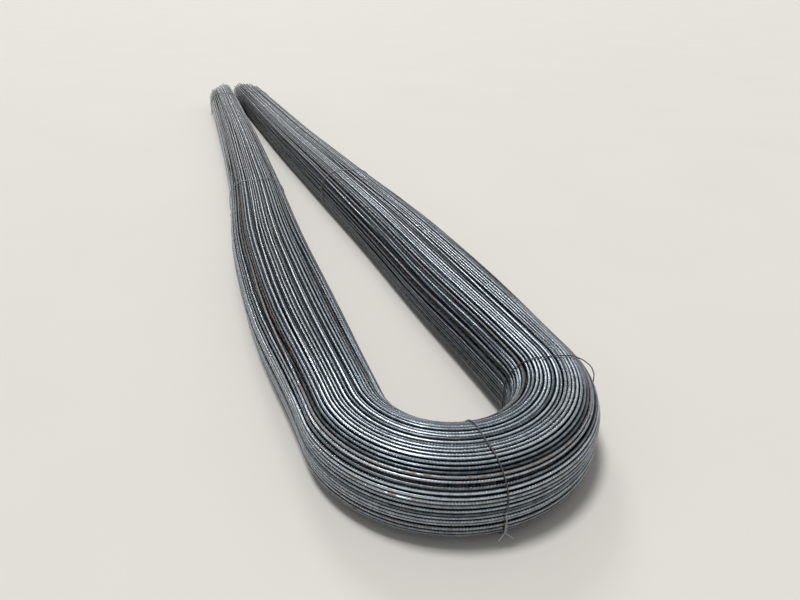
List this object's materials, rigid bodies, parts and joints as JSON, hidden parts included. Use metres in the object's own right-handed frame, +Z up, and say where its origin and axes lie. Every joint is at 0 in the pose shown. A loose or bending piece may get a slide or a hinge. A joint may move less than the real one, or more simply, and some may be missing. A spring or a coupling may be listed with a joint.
{
  "type": "hairpin bundle of reinforcing bars",
  "caption": "Long ribbed steel bars tied in a bundle with wire and bent double like a hairpin, lying flat, with two legs that narrow to uneven cut ends.",
  "frame": {"origin": "on the floor under the middle of the bundle's bounding box", "axes": "+Z up, +Y from the bend towards the cut ends, +X across the two legs"},
  "size_m": [1.011, 6.044, 0.2477],
  "materials": {
    "bar_steel": "hot-rolled, dark blue-grey mill scale with traces of rust",
    "tie_wire": "black annealed wire"
  },
  "bodies": {
    "root": {"hidden_core": "bar_steel", "bearing_bars": "bar_steel", "inner_under_bars": "bar_steel", "outer_under_bars": "bar_steel", "inner_top_bars": "bar_steel", "outer_top_bars": "bar_steel", "inner_side_bars": "bar_steel", "outer_side_bars": "bar_steel", "front_tie": "tie_wire", "shoulder_tie": "tie_wire", "left_leg_tie": "tie_wire", "right_leg_tie": "tie_wire", "left_end_tie": "tie_wire", "right_end_tie": "tie_wire"}
  },
  "joints": []
}
